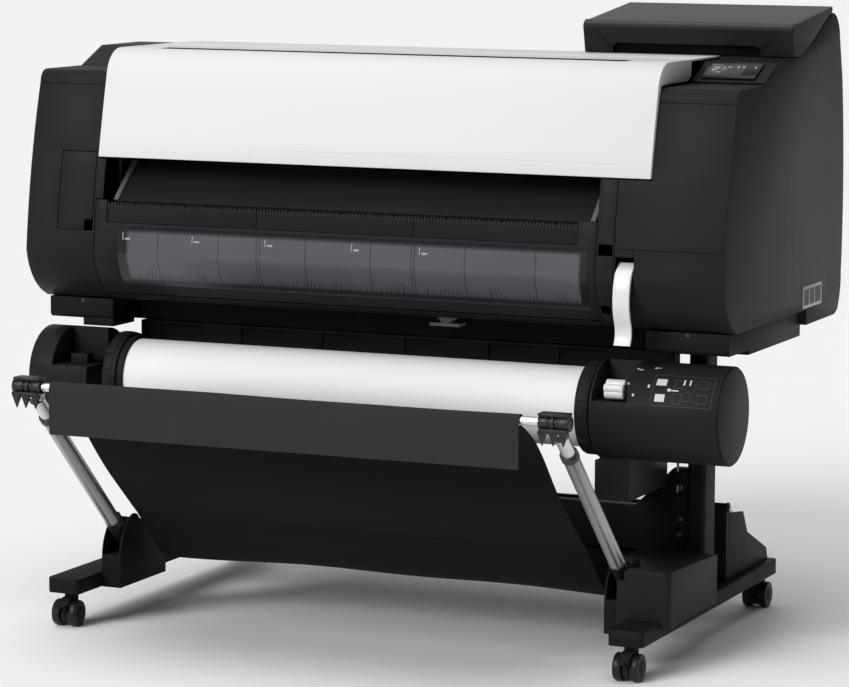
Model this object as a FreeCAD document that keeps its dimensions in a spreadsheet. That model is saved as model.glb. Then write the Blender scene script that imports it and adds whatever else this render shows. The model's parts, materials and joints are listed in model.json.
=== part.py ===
import FreeCAD, Part
import math
import os
import re
from FreeCAD import Placement, Rotation, Vector

# Large format plotter on a rolling stand. Millimetres, X to the right, -Y to the front, Z up, floor at 0.
# The casing hides the print mechanism, a paper roll hangs under it in two round housings, and a cloth
# basket hangs from two leaning telescopic arms in front of the stand.

doc = FreeCAD.newDocument("large_format_plotter")
sheet = doc.addObject("Spreadsheet::Sheet", "Sizes")

SIZES = {
    "half_width": 695, "wall": 3, "cover_half": 550, "seam": 1,
    "roll_y": -105, "roll_z": 457, "roll_radius": 72.5, "roll_left": -496, "roll_right": 418,
    "core_radius": 38, "spindle_radius": 11, "flange_radius": 83.5, "housing_radius": 89.5,
    "housing_left_in": -565, "housing_right_in": 448, "housing_out": 688, "ledge": 481,
    "foot_x": 561, "foot_in": 527, "foot_out": 594, "foot_front": -297, "foot_back": 478.5,
    "foot_low": 65, "foot_high": 94, "leg_in": 543, "leg_out": 579, "leg_front": 75, "leg_back": 139,
    "base_low": 555, "base_high": 604, "base_front": -5, "base_back": 304, "base_out": 684,
    "wheel_radius": 25, "wheel_in": 8, "wheel_out": 24, "hood_half": 10, "axle_radius": 3, "trail": 12,
    "caster_front": -262, "caster_back": 446,
    "arm_x": 508, "arm_lean": 47, "arm_pivot_y": -150, "arm_pivot_z": 150, "arm_reach": 497,
    "tube_radius": 14.5, "rod_radius": 12.5, "bar_radius": 8, "running_gap": 0.06,
    "cloth_left": -461, "cloth_right": 446, "rear_rod_y": 215.5, "rear_rod_z": 231,
    "mouth_left": -520, "mouth_right": 435, "feed_y": -10, "feed_z": 850, "feed_radius": 15,
    "plate_x": 541, "rail_z": 905, "rail_y": -40, "carriage_left": 400, "carriage_width": 120,
    "hatch_left": 297, "lid_left": 286, "strip_top": 1081,
}
for row, (alias, value) in enumerate(SIZES.items(), 1):
    sheet.set(f"A{row}", alias)
    sheet.set(f"B{row}", str(value))
    sheet.setAlias(f"B{row}", alias)
doc.recompute()

pieces = []
serial = 0


def size(alias):
    """Number held by a cell of the sheet."""
    return float(sheet.get(alias))


def cell(value):
    """Expression text in which every word is a cell of the sheet."""
    return re.sub(r"[a-z][a-z0-9_]*", lambda found: "Sizes." + found.group(0), str(value))


def name():
    """Unused object name for a helper shape."""
    global serial
    serial += 1
    return f"shape{serial}"


def keep(obj, label):
    """Mark an object as a finished sub-part."""
    obj.Label = label
    pieces.append(obj)
    return obj


def box(x, y, z):
    """Block between two planes on each axis."""
    obj = doc.addObject("Part::Box", name())
    for prop, axis, (low, high) in (("Length", "x", x), ("Width", "y", y), ("Height", "z", z)):
        obj.setExpression(prop, f"({cell(high)}) - ({cell(low)})")
        obj.setExpression(f"Placement.Base.{axis}", cell(low))
    return obj


TURN = {
    "x": Rotation(Vector(0, 1, 0), 90),
    "y": Rotation(Vector(1, 0, 0), -90),
    "z": Rotation(),
}


def rod(radius, axis, span, across):
    """Cylinder along an axis; across gives its place on the other two, in X, Y, Z order."""
    obj = doc.addObject("Part::Cylinder", name())
    obj.setExpression("Radius", cell(radius))
    obj.setExpression("Height", f"({cell(span[1])}) - ({cell(span[0])})")
    obj.Placement = Placement(Vector(), TURN[axis])
    place = dict(zip([letter for letter in "xyz" if letter != axis], across))
    place[axis] = span[0]
    for letter, value in place.items():
        obj.setExpression(f"Placement.Base.{letter}", cell(value))
    return obj


def fuse(*shapes):
    """One solid from touching shapes."""
    obj = doc.addObject("Part::MultiFuse", name())
    obj.Shapes = list(shapes)
    return obj


def cut(base, *tools):
    """Base with the tools taken away."""
    obj = doc.addObject("Part::Cut", name())
    obj.Base = base
    obj.Tool = tools[0] if len(tools) == 1 else fuse(*tools)
    return obj


def common(base, tool):
    """What two solids share."""
    obj = doc.addObject("Part::Common", name())
    obj.Base = base
    obj.Tool = tool
    return obj


def group(*shapes):
    """Several separate solids as one sub-part."""
    obj = doc.addObject("Part::Compound", name())
    obj.Links = list(shapes)
    return obj


def mirrored(source):
    """Copy on the other side of the middle plane."""
    obj = doc.addObject("Part::Mirroring", name())
    obj.Source = source
    obj.Normal = Vector(1, 0, 0)
    return obj


def pair(source):
    """Right and left copies as one sub-part."""
    return group(source, mirrored(source))


def edges(steps, to_vector):
    """Curves of a closed outline: a step is a point, or a point on an arc and the arc's end."""
    points = []
    curves = []
    start = to_vector(*steps[0])
    here = start
    for step in list(steps[1:]) + [steps[0]]:
        if isinstance(step[0], tuple):
            middle, end = (to_vector(*part) for part in step)
            curves.append(Part.Arc(here, middle, end))
        else:
            end = to_vector(*step)
            curves.append(Part.LineSegment(here, end))
        points.append(end)
        here = end
    return curves


ROLES = {"x": "YZ_Plane", "y": "XZ_Plane", "z": "XY_Plane"}


def prism(steps, span, axis="x"):
    """Body padded from a sketched outline between two planes across an axis."""
    body = doc.addObject("PartDesign::Body", name())
    sketch = body.newObject("Sketcher::SketchObject", name())
    plane = [part for part in body.Origin.OriginFeatures if part.Role == ROLES[axis]][0]
    sketch.AttachmentSupport = [(plane, "")]
    sketch.MapMode = "FlatFace"
    low, high = span if axis != "y" else (f"-({span[1]})", f"-({span[0]})")
    sketch.setExpression("AttachmentOffset.Base.z", cell(low))
    sketch.addGeometry(edges(steps, lambda first, second: Vector(first, second, 0)))
    pad = body.newObject("PartDesign::Pad", name())
    pad.Profile = sketch
    pad.setExpression("Length", f"({cell(high)}) - ({cell(low)})")
    sketch.Visibility = False
    return body


def round_edges(source, radius, chosen):
    """Fillet on the edges whose middle point passes the test."""
    doc.recompute()
    obj = doc.addObject("Part::Fillet", name())
    obj.Base = source
    numbers = [i for i, edge in enumerate(source.Shape.Edges, 1) if chosen(edge.CenterOfMass, edge)]
    obj.Edges = [(i, radius, radius) for i in numbers]
    return obj


def feature(shape):
    """Object that holds a shape made with Part's own functions."""
    obj = doc.addObject("Part::Feature", name())
    obj.Shape = shape
    return obj


# Casing outline in the side view, as (y, z) points: one for the left and middle, one for the right.
FRONT_LOW = [(-118, 609), ((-164, 643), (-190, 700)), ((-171, 844), (-131, 1015)), ((-124, 1031), (-109, 1038))]
REAR_LOW = [((531, 760), (527, 656)), ((519, 605), (507, 584)), (488, 577), (306, 576), (306, 605), (-110, 605)]
LEFT_TOP = [(30, 1038), (114, 1074), (229, 1075), (270, 1075), (480, 1042), ((507, 1030), (517, 1005))]
RIGHT_TOP = [
    (30, 1038), (114, 1074), (192, 1075), (199, 1080.5), (230, 1081), (320, 1106), (400, 1143), (437, 1156),
    ((466, 1146), (487, 1109)), (509, 1030),
]
LEFT_OUTLINE = FRONT_LOW + LEFT_TOP + REAR_LOW
RIGHT_OUTLINE = FRONT_LOW + RIGHT_TOP + REAR_LOW


def side_face(steps, x, inset=0.0):
    """Face of an outline in the plane at x, drawn in by an inset."""
    curves = edges(steps, lambda y, z: Vector(x, y, z))
    wire = Part.Wire([curve.toShape() for curve in curves])
    if inset:
        wire = wire.makeOffset2D(-inset)
    return Part.Face(wire)


def side_solid(steps, low, high, inset=0.0):
    """Solid of an outline between two planes across X."""
    return side_face(steps, low, inset).extrude(Vector(high - low, 0, 0))


def block(x, y, z):
    """Plain block used to trim the casing shells."""
    return Part.makeBox(x[1] - x[0], y[1] - y[0], z[1] - z[0], Vector(x[0], y[0], z[0]))


WALL = size("wall")
HALF = size("half_width")
COVER = size("cover_half") + size("seam")
FAR = 2000


def skin(steps, low, high):
    """Hollow band of the casing outline, one wall thick."""
    return side_solid(steps, low, high).cut(side_solid(steps, low, high, WALL))


# ---- stand: feet, legs, casters ----
foot = box(("foot_in", "foot_out"), ("foot_front", "foot_back"), ("foot_low", "foot_high"))
foot_bar = round_edges(foot, 10, lambda middle, edge: abs(middle.z - 79.5) < 1)
keep(pair(foot_bar), "foot_beams")
leg = box(("leg_in", "leg_out"), ("leg_front", "leg_back"), ("foot_high", "base_low"))
leg_post = round_edges(leg, 8, lambda middle, edge: 200 < middle.z < 400)
keep(pair(leg_post), "legs")
# The legs are joined by a folded sheet beam that flares up where it meets them and is open to the rear.
BEAM_OUTLINE = [
    (-543, 168), (543, 168), (543, 325), (515, 325), (440, 250), (-440, 250), (-515, 325), (-543, 325),
]
beam_sheet = prism(BEAM_OUTLINE, (80, 106), "y")
beam_hollow = box(("-leg_in + 4", "leg_in - 4"), (83, 110), (171, 247))
keep(cut(beam_sheet, beam_hollow), "leg_cross_beam")

# The right foot wears a hollow plastic cover that sits astride its beam, in front of the leg.
cover_block = prism([(-208, 84), (-208, 180), ((-206, 184), (-201, 185)), (60, 174), (60, 84)], (465, 610))
cover_plan = prism(
    [(512, -208), (594, -208), ((605.3, -203.3), (610, -192)), (610, 60), (465, 60), (465, -122), (512, -122)],
    (70, 200), "z")
hollow_block = prism([(-215, 70), (-215, 182), (65, 170), (65, 70)], (460, 615))
hollow_plan = prism(
    [(515, -205), (594, -205), ((603.2, -201.2), (607, -192)), (607, 57), (468, 57), (468, -119), (515, -119)],
    (60, 200), "z")
cover_hollow = common(hollow_block, hollow_plan)
foot_gap = box(("foot_in - 0.5", "foot_out + 0.5"), (-230, 80), (60, "foot_high + 0.5"))
bracket_gap = box((500, 530.5), (-205.4, -126), (60, 200))
arm_notch = box((500, 526), (-215, -126), (165, 200))
keep(
    cut(common(cover_block, cover_plan), cover_hollow, foot_gap, bracket_gap, arm_notch), "right_foot_cover")

# Front brackets: a box with two cheeks around the arm's foot. The left one runs back along the foot.
BRACKET = [
    (-205, 65), (-205, 118), ((-196, 160), (-166, 192)), ((-150, 200), (-135, 196)), (-129, 190), (-129, 65),
]
TAIL = [(-129, 65), (-129, 189), (-118, 184), (-32, 122), (-19, 112), (-19, 65)]
bracket_block = prism(BRACKET, (487, "foot_in"))
channel = box((490.5, 525.4), (-230, -120), (127, 220))
underside = box((491, 523), (-201, -133), (60, 123))
pivot_pin = rod(5, "x", (489, 526.2), ("arm_pivot_y", "arm_pivot_z"))
right_bracket = fuse(cut(bracket_block, channel, underside), pivot_pin)
tail_block = prism(TAIL, ("-foot_in", -487))
tail_above = box(("-foot_in - 5", -491), (-125, 0), (98, 220))
tail_below = box((-523, -491), (-125, -23), (60, 95))
left_tail = cut(tail_block, tail_above, tail_below)
keep(group(right_bracket, fuse(mirrored(right_bracket), left_tail)), "arm_brackets")

# Rear brackets hold the rod that carries the rear edge of the cloth.
REAR_BRACKET = [
    (206, 94), (204, 179), (203, 231), ((215.5, 243.5), (228, 231)), (241, 221), (305, 213), (333, 169),
    (453, 119), (461, 99), (461, 94),
]
rear_block = prism(REAR_BRACKET, ("leg_in", "leg_out"))
rear_gap = box(("leg_in + 4", "leg_out - 4"), (212, 500), (98, 300))
rear_hole = rod(6, "x", (500, 600), ("rear_rod_y", "rear_rod_z"))
keep(pair(cut(rear_block, rear_gap, rear_hole)), "rear_rod_brackets")
keep(rod(6, "x", ("-leg_out - 4", "leg_out + 4"), ("rear_rod_y", "rear_rod_z")), "rear_rod")


def caster(side, row_name, swivel_y, toward):
    """Twin-wheel caster: a swivelling fork with a hood, and two wheels on one axle."""
    place_x = f"foot_x * {side}"
    axle_y = f"{swivel_y} + trail * {toward}"
    label = f"{row_name}_{'left' if side < 0 else 'right'}_caster"
    across = (axle_y, "wheel_radius")
    span = (f"{place_x} - wheel_out", f"{place_x} + wheel_out")
    hood_span = (f"{place_x} - hood_half", f"{place_x} + hood_half")
    hood_ring = cut(
        rod("wheel_radius + 4.5", "x", hood_span, across), rod("wheel_radius + 1.5", "x", hood_span, across))
    lower = box((f"{place_x} - 40", f"{place_x} + 40"), (f"{axle_y} - 40", f"{axle_y} + 40"), (-10, 34))
    hood = cut(hood_ring, lower)
    web_round = rod("wheel_radius - 4", "x", (f"{place_x} - 5", f"{place_x} + 5"), across)
    web_post = box(
        (f"{place_x} - 5", f"{place_x} + 5"), (f"{axle_y} - 12", f"{axle_y} + 12"), ("wheel_radius", 53))
    neck = rod(13, "z", (48, "foot_low - 0.4"), (place_x, swivel_y))
    wheel_space = []
    for low, high in (("-wheel_out - 1", "-wheel_in + 1"), ("wheel_in - 1", "wheel_out + 1")):
        wheel_span = (f"{place_x} + ({low})", f"{place_x} + ({high})")
        wheel_space.append(rod("wheel_radius + 1.5", "x", wheel_span, across))
    axle_hole = rod("axle_radius + running_gap", "x", span, across)
    front_y = f"{axle_y} - wheel_radius"
    lugs = [
        box((f"{place_x} + {low}", f"{place_x} + {low} + 3"), (f"{front_y} - 12", f"{axle_y} - 20"), (36, 44))
        for low in (-10, 7)] if row_name == "front" else []
    fork = cut(fuse(hood, web_round, web_post, neck, *lugs), axle_hole, *wheel_space)
    keep(fork, f"{label}_fork")
    wheels = [rod("axle_radius", "x", (f"{place_x} - 8", f"{place_x} + 8"), across)]
    for low, high in (("-wheel_out", "-wheel_in"), ("wheel_in", "wheel_out")):
        wheels.append(rod("wheel_radius", "x", (f"{place_x} + ({low})", f"{place_x} + ({high})"), across))
    keep(fuse(*wheels), f"{label}_wheels")
    if row_name == "front":
        pedal = [
            box((f"{place_x} - 6", f"{place_x} + 6"), (f"{front_y} - 20", f"{front_y} - 5"), (37, 42)),
            rod(4, "x", (f"{place_x} - 6", f"{place_x} + 6"), (f"{front_y} - 9", 40)),
        ]
        keep(fuse(*pedal), f"{label}_brake")


for side in (-1, 1):
    caster(side, "front", "caster_front", -1)
    caster(side, "rear", "caster_back", 1)

# ---- basket: telescopic arms, bar and cloth ----
LEAN = math.radians(size("arm_lean"))
ARM_PIVOT = Vector(size("arm_x"), size("arm_pivot_y"), size("arm_pivot_z"))
ALONG = Vector(0, -math.sin(LEAN), math.cos(LEAN))
INWARD = Vector(0, math.cos(LEAN), math.sin(LEAN))
REACH = size("arm_reach")
BAR_CENTRE = ARM_PIVOT + ALONG * REACH
RUN = size("running_gap")


def arm_piece(radius, low, high):
    """Cylinder along the right arm between two distances from its pivot."""
    return Part.makeCylinder(radius, high - low, ARM_PIVOT + ALONG * low, ALONG)


def bar_piece(radius, low, high):
    """Cylinder along the front bar's axis."""
    return Part.makeCylinder(radius, high - low, Vector(low, BAR_CENTRE.y, BAR_CENTRE.z), Vector(1, 0, 0))


def both_sides(shape):
    """Shape and its mirror image in the middle plane."""
    return Part.makeCompound([shape, shape.mirror(Vector(), Vector(1, 0, 0))])


TUBE = size("tube_radius")
ROD = size("rod_radius")
BAR = size("bar_radius")
tube = arm_piece(TUBE, -12, 394).fuse(arm_piece(TUBE + 0.7, 58, 66)).fuse(arm_piece(TUBE + 2, 394, 406))
tube = tube.cut(arm_piece(ROD + RUN, 30, 420))
tube = tube.cut(Part.makeCylinder(5 + RUN, 60, ARM_PIVOT - Vector(30, 0, 0), Vector(1, 0, 0)))
keep(feature(both_sides(tube.removeSplitter())), "arm_tubes")
keep(feature(both_sides(arm_piece(ROD, 200, REACH - 17))), "arm_rods")
clip = bar_piece(BAR + 9.7, 478, 537).fuse(arm_piece(ROD + 4, REACH - 36, REACH - 2))
clip = clip.cut(bar_piece(BAR, 400, 500)).cut(arm_piece(ROD, 200, REACH - 17)).removeSplitter()
keep(feature(both_sides(clip)), "bar_clips")
keep(feature(bar_piece(BAR, -500, 500)), "front_bar")

CLOTH_LEFT = size("cloth_left")
CLOTH_RIGHT = size("cloth_right")
sleeve = bar_piece(BAR + 3, CLOTH_LEFT, CLOTH_RIGHT).fuse(
    block((CLOTH_LEFT, CLOTH_RIGHT), (BAR_CENTRE.y - BAR - 3, BAR_CENTRE.y - BAR - 0.5), (405, BAR_CENTRE.z)))
sleeve = sleeve.cut(bar_piece(BAR, -500, 500)).removeSplitter()
keep(feature(sleeve), "basket_flap")
panel_corners = []
for along, inward in ((64, 14), (470, 14), (470, 17), (64, 17)):
    corner = ARM_PIVOT + ALONG * along + INWARD * inward
    panel_corners.append((corner.y, corner.z))
keep(prism(panel_corners, ("cloth_left", "cloth_right")), "basket_front_panel")
SLING = [
    (213, 220), (-16, 97), ((-50, 93), (-84, 112)), (-152, 178), (-152, 182.5), (-88, 116), ((-50, 97), (-18, 100.5)),
    (213, 223.5),
]
keep(prism(SLING, ("cloth_left", "cloth_right")), "basket_sling")

# ---- roll unit ----
roll_at = ("roll_y", "roll_z")
arm_z = (430, 500)
left_drum = rod("housing_radius", "x", ("-housing_out", "housing_left_in"), roll_at)
left_arm = box((-620, -545), (-60, "leg_front"), arm_z)
left_recess = box((-640, -560), (-200, "roll_y"), ("ledge", 560))
left_drop = box((-640, -560), ("roll_y - 14", "roll_y + 14"), ("roll_z", "ledge"))
left_bore = rod(14, "x", (-645, -560), roll_at)
left_chamber = rod("housing_radius - 4", "x", (-684, -644), roll_at)
keep(cut(fuse(left_drum, left_arm), left_recess, left_drop, left_bore, left_chamber), "left_roll_housing")

right_drum = rod("housing_radius", "x", ("housing_right_in", "housing_out"), roll_at)
right_arm = box((545, 620), (-60, "leg_front"), arm_z)
motor_box = fuse(box((440, 506), (-135, 72), (294, 366)), box((449, 506), (-135, 72), (360, 393)))
right_recess = box((452, 518), (-200, -100), ("ledge", 560))
right_bore = rod(13, "x", (440, 512), roll_at)
right_chamber = rod("housing_radius - 4", "x", (524, 689), roll_at)
lever_pin = rod(4, "x", (450, 520), (-116, 500))
keep(
    fuse(cut(fuse(right_drum, right_arm, motor_box), right_recess, right_bore, right_chamber), lever_pin),
    "right_roll_housing")
keep(rod("housing_radius - 2", "x", ("housing_out", "housing_out + 3"), roll_at), "roll_end_cap")

lever_blank = prism(
    [(-108, 500), ((-116, 508), (-124, 506)), (-178, 512), ((-184, 503), (-178, 496)), (-124, 494), (-112, 493)],
    (472, 508))
keep(cut(lever_blank, rod("4 + running_gap", "x", (460, 520), (-116, 500))), "roll_lock_lever")

keep(rod("spindle_radius", "x", (-662, 508), roll_at), "spindle")
roll = cut(
    rod("roll_radius", "x", ("roll_left", "roll_right"), roll_at),
    rod("core_radius", "x", ("roll_left", "roll_right"), roll_at))
keep(roll, "paper_roll")


def flange(disc, rim, hub):
    """Round stop at one end of the roll, with a hub inside the core."""
    shape = fuse(
        rod("flange_radius", "x", disc, roll_at), rod(rim[0], "x", rim[1], roll_at),
        rod("core_radius", "x", hub, roll_at))
    return cut(shape, rod("spindle_radius", "x", (-700, 600), roll_at))


left_flange = flange((-535, -508), (78, (-508, "roll_left")), (-540, -456))
right_flange = flange(("roll_right", 443), (60, (443, 446)), (378, 446))
keep(group(left_flange, right_flange), "roll_flanges")

MODULE = 1.25
GEAR_TEETH = 40
PINION_TEETH = 16
GEAR_SPAN = (-660, -650)


def gear(teeth, centre_y, phase, bore):
    """Spur gear about an axis along X, its flanks straight and its teeth a little thin for backlash."""
    pitch = MODULE * teeth / 2
    step = 2 * math.pi / teeth
    corners = []
    for tooth in range(teeth):
        middle = phase + tooth * step
        for radius, half in (
                (pitch - 1.2 * MODULE, -0.27), (pitch + 0.8 * MODULE, -0.11),
                (pitch + 0.8 * MODULE, 0.11), (pitch - 1.2 * MODULE, 0.27)):
            angle = middle + half * step
            corners.append(Vector(GEAR_SPAN[0], centre_y + radius * math.cos(angle),
                                  size("roll_z") + radius * math.sin(angle)))
    face = Part.Face(Part.makePolygon(corners + [corners[0]]))
    solid = face.extrude(Vector(GEAR_SPAN[1] - GEAR_SPAN[0], 0, 0))
    hole = Part.makeCylinder(bore, 30, Vector(GEAR_SPAN[0] - 5, centre_y, size("roll_z")), Vector(1, 0, 0))
    return solid.cut(hole)


PINION_Y = size("roll_y") + MODULE * (GEAR_TEETH + PINION_TEETH) / 2 + 0.2
keep(feature(gear(GEAR_TEETH, size("roll_y"), 0, size("spindle_radius"))), "drive_gear")
pinion_shape = gear(PINION_TEETH, PINION_Y, math.pi + math.pi / PINION_TEETH, 3)
pinion_shaft = Part.makeCylinder(3, 20, Vector(-668, PINION_Y, size("roll_z")), Vector(1, 0, 0))
keep(feature(pinion_shape.fuse(pinion_shaft).removeSplitter()), "drive_pinion")
motor_can = rod(17, "x", (-684, -668.5), (PINION_Y, "roll_z"))
keep(motor_can, "roll_motor")

# The beam behind the roll carries the housings between the legs.
beam_block = box((-545, 545), (-8, 22), (482, 553))
beam_windows = [box((left, left + 90), (-20, -4), (500, 547)) for left in (-500, -330, -160, 10, 180, 320)]
keep(cut(beam_block, *beam_windows), "roll_beam")

# ---- casing ----
pan = fuse(
    box(("-base_out", "base_out"), ("base_front", "base_back"), ("base_low", "base_high")),
    box(("-base_out", -548), (-117, "base_front"), (564, "base_high")),
    box((527, "base_out"), (-117, "base_front"), (564, "base_high")))
pan_round = round_edges(pan, 9, lambda middle, edge: abs(middle.y + 117) < 1 and abs(middle.z - 564) < 1)
pan_hollow = box(("-base_out + 4", "base_out - 4"), ("base_front + 4", "base_back - 4"), ("base_low + 4", 620))
pan_left = box(("-base_out + 4", -552), (-113, 10), (574, 620))
pan_right = box((531, "base_out - 4"), (-113, 10), (574, 620))
keep(cut(pan_round, pan_hollow, pan_left, pan_right), "bottom_pan")
knob = fuse(rod(15, "z", (588, 605), (113, -45)), box((83, 143), (-60, -30), (582, 588)))
keep(knob, "beam_knob")

left_shell = side_solid(LEFT_OUTLINE, -HALF, -COVER).cut(
    side_solid(LEFT_OUTLINE, -HALF + WALL, -COVER, WALL))
left_lip = skin(LEFT_OUTLINE, -COVER, -536).common(block((-600, -500), (-300, -100), (801, 876)))
door_hole = block((-630, -555), (-300, -100), (740, 887.5))
left_cover = left_shell.fuse(left_lip).cut(door_hole)
keep(feature(left_cover.removeSplitter()), "left_side_cover")

right_shell = side_solid(RIGHT_OUTLINE, 489, HALF).cut(side_solid(RIGHT_OUTLINE, 489, HALF - WALL, WALL))
above_cover = block((480, COVER), (-FAR, FAR), (876, FAR))
behind_front = block((480, COVER), (-100, FAR), (600, FAR)).fuse(block((480, COVER), (-115, FAR), (560, 612)))
ink_opening = block((COVER - 5, HALF - WALL), (232, 432), (1060, FAR))
lever_slot = block((492, 527), (-300, -150), (690, 740))
right_cover = right_shell.cut(above_cover).cut(behind_front).cut(ink_opening).cut(lever_slot)
keep(feature(right_cover.removeSplitter()), "right_side_cover")

rear_zone = block((-COVER + 1, COVER - 1), (229.5, FAR), (577.5, FAR))
hatch_zone = block((size("hatch_left") - 1, FAR), (-FAR, FAR), (1020, FAR))
inlet_hole = block((-475, -425), (480, 540), (615, 655))
back = skin(LEFT_OUTLINE, -COVER + 1, COVER - 1).common(rear_zone).cut(hatch_zone).cut(inlet_hole)
keep(feature(back), "back_panel")

inlet = cut(
    box((-474, -426), (496, 526), (616, 654)), box((-464, -436), (510, 530), (624, 646)))
inlet_pins = [box((x - 1, x + 1), (508, 522), (633, 638)) for x in (-457, -450, -443)]
keep(fuse(inlet, *inlet_pins), "power_inlet")

strip = box(("-cover_half", "cover_half"), (47, 228.5), ("strip_top - 4", "strip_top"))
strip_left = box(("-cover_half", -527), (45.5, 47), ("strip_top - 4", "strip_top"))
strip_right = box((430, "cover_half"), (45.5, 47), ("strip_top - 4", "strip_top"))
keep(fuse(strip, strip_left, strip_right), "top_rear_cover")

COVER_OUTER = [(-170, 879), ((-152, 965), (-134, 1041)), ((-117, 1067), (-75, 1081)), (43.5, 1081)]
COVER_INNER = [(43.5, 1077), (-74, 1077), ((-114, 1064.5), (-130, 1040)), ((-148, 965), (-166, 879))]
cover_band = prism(COVER_OUTER + COVER_INNER, ("-cover_half", "cover_half"))
CHEEK = COVER_OUTER + [(43.5, 1050), (25, 1042), (-65, 1042), (-118, 1040), (-158, 879)]
cheeks = [prism(CHEEK, (f"{low}", f"{high}")) for low, high in (
    ("-cover_half", "-cover_half + 4"), ("cover_half - 4", "cover_half"))]
keep(fuse(cover_band, *cheeks), "top_cover")

HATCH = size("hatch_left")
BAY = [
    (229, 1021), (229, 1081), (320, 1106), (400, 1143), (437, 1156), ((466, 1146), (487, 1109)), (509, 1030),
    (511, 1021),
]
bay_inside = [(232, 1010), (232, 1200), (432, 1200), (432, 1150), (482, 1108), (505, 1030), (507, 1010)]
bay = side_solid(BAY, HATCH, COVER - 1).cut(side_solid(bay_inside, HATCH + WALL, COVER))
keep(feature(bay.removeSplitter()), "ink_housing")

LID = [
    (195, 1082), (183, 1129), ((186, 1138), (203, 1142)), (435, 1168), (435, 1157.5), (400, 1145), (320, 1108),
    (234, 1082.5), (230, 1082),
]
lid_inside = [(198.5, 1070), (187, 1127), (205, 1138.5), (432, 1164.5), (432, 1070)]
LID_LEFT = size("lid_left")
lid = side_solid(LID, LID_LEFT, HALF).cut(side_solid(lid_inside, LID_LEFT + WALL, HALF - WALL))
grip_back = block((339, 636), (196, 210), (1082, 1105)).cut(block((343, 632), (190, 206), (1081, 1101)))
grip_cut = block((343, 632), (180, 200), (1081, 1101))
lid = lid.cut(grip_cut).fuse(grip_back).cut(side_solid(
    [(150, 1000), (150, 1145), (183.2, 1129), (195.2, 1082), (195.2, 1000)], 300, 680))
keep(feature(lid.removeSplitter()), "ink_cover")

PANEL = [(33, 1039.6), (111, 1073), (109.8, 1075.8), (31.8, 1042.4)]
keep(prism(PANEL, (553, 693)), "control_panel")
SCREEN = [(39, 1045.7), (97, 1070.6), (95, 1075.2), (37, 1050.3)]
keep(prism(SCREEN, (570, 671)), "touch_screen")

door = skin(LEFT_OUTLINE, -629, -556).common(block((-FAR, FAR), (-FAR, -100), (741, 886.5)))
door = door.cut(block((-573, -500), (-300, -100), (730, 761)))
keep(feature(door), "access_door")

lever_body = prism(
    [(-193, 712), ((-204, 668), (-192, 620)), ((-189, 602), (-197, 584)), (-191, 583), ((-183, 602), (-186, 621)),
     ((-198, 668), (-187, 706)), (-160, 714), (-158, 724), (-170, 730)],
    (494, 525))
keep(lever_body, "release_lever")

guide = skin(LEFT_OUTLINE, -COVER + 1, 454).common(block((-FAR, FAR), (-FAR, -100), (620, 799)))
guide = guide.cut(block((-500, 440), (-300, -100), (640, 748))).cut(block((-526, 419), (-300, -100), (757, 810)))
keep(feature(guide), "output_guide")
lens = skin(LEFT_OUTLINE, -499.8, 439.8).common(block((-FAR, FAR), (-FAR, -100), (640.2, 747.8)))
keep(feature(lens), "window_lens")
comb_spans = ((-525.5, -215.5), (-214.5, 99.5), (100.5, 418.5))
comb_shape = [(-181, 757.2), (-179, 788), ((-176.5, 792), (-172, 792)), (-164, 792), (-166, 757.2)]
keep(group(*[prism(comb_shape, span) for span in comb_spans]), "comb_bar")

frame_strip = skin(LEFT_OUTLINE, 455, 488).common(block((-FAR, FAR), (-FAR, -100), (604, 876)))
frame_strip = frame_strip.cut(block((459, 486), (-300, -100), (741, 761))).cut(
    block((459, 477), (-300, -100), (634, 650)))
frame_sill = skin(LEFT_OUTLINE, -COVER + 1, 488).common(block((-FAR, FAR), (-FAR, -6), (604, 618)))
keep(feature(frame_strip.fuse(frame_sill).removeSplitter()), "front_frame")

# ---- print mechanism ----
APRON = [(-162, 797), (-88, 862), (-86, 859), (-160, 793)]
keep(prism(APRON, ("mouth_left", "mouth_right")), "output_apron")
keep(box(("mouth_left", "mouth_right"), (-84, -28), (848, 863)), "platen")
feed_at = ("feed_y", "feed_z")
feed = fuse(
    rod("feed_radius", "x", ("mouth_left", "mouth_right"), feed_at), rod(6, "x", ("-plate_x - 8", "plate_x + 8"), feed_at))
keep(feed, "feed_roller")
pinch_at = ("feed_y", "feed_z + feed_radius + 7.3")
pinch = [rod(3, "x", ("mouth_left", "mouth_right"), pinch_at)]
for i in range(8):
    left = -480 + i * 115
    pinch.append(rod(7, "x", (left, left + 40), pinch_at))
keep(fuse(*pinch), "pinch_rollers")

plate = box(("plate_x", "plate_x + 4"), (-95, 240), (612, 1018))
plate_hole = rod("6 + running_gap", "x", ("plate_x - 5", "plate_x + 9"), feed_at)
left_plate = mirrored(cut(plate, plate_hole))
rail = box(("-plate_x", "plate_x"), (-5, 15), (890, 950))
guide_rod = rod(8, "x", ("-plate_x", "plate_x"), ("rail_y", "rail_z"))
tray = box((303, 688), (236, 426), (980, 986))
keep(fuse(cut(plate, plate_hole), left_plate, rail, guide_rod, tray), "print_frame")

carriage_x = ("carriage_left", "carriage_left + carriage_width")
carriage_block = round_edges(
    box(carriage_x, (-110, -10), (884, 965)), 8, lambda middle, edge: abs(middle.z - 965) < 1)
carriage = cut(carriage_block, rod("8 + running_gap", "x", (380, 540), ("rail_y", "rail_z")))
keep(fuse(carriage, box(("carriage_left + 10", "carriage_left + 110"), (-80, -50), (868, 884))), "carriage")
tanks = [box((312 + 62 * i, 366 + 62 * i), (240, 418), (986, 1078)) for i in range(6)]
keep(group(*tanks), "ink_tanks")

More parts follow.
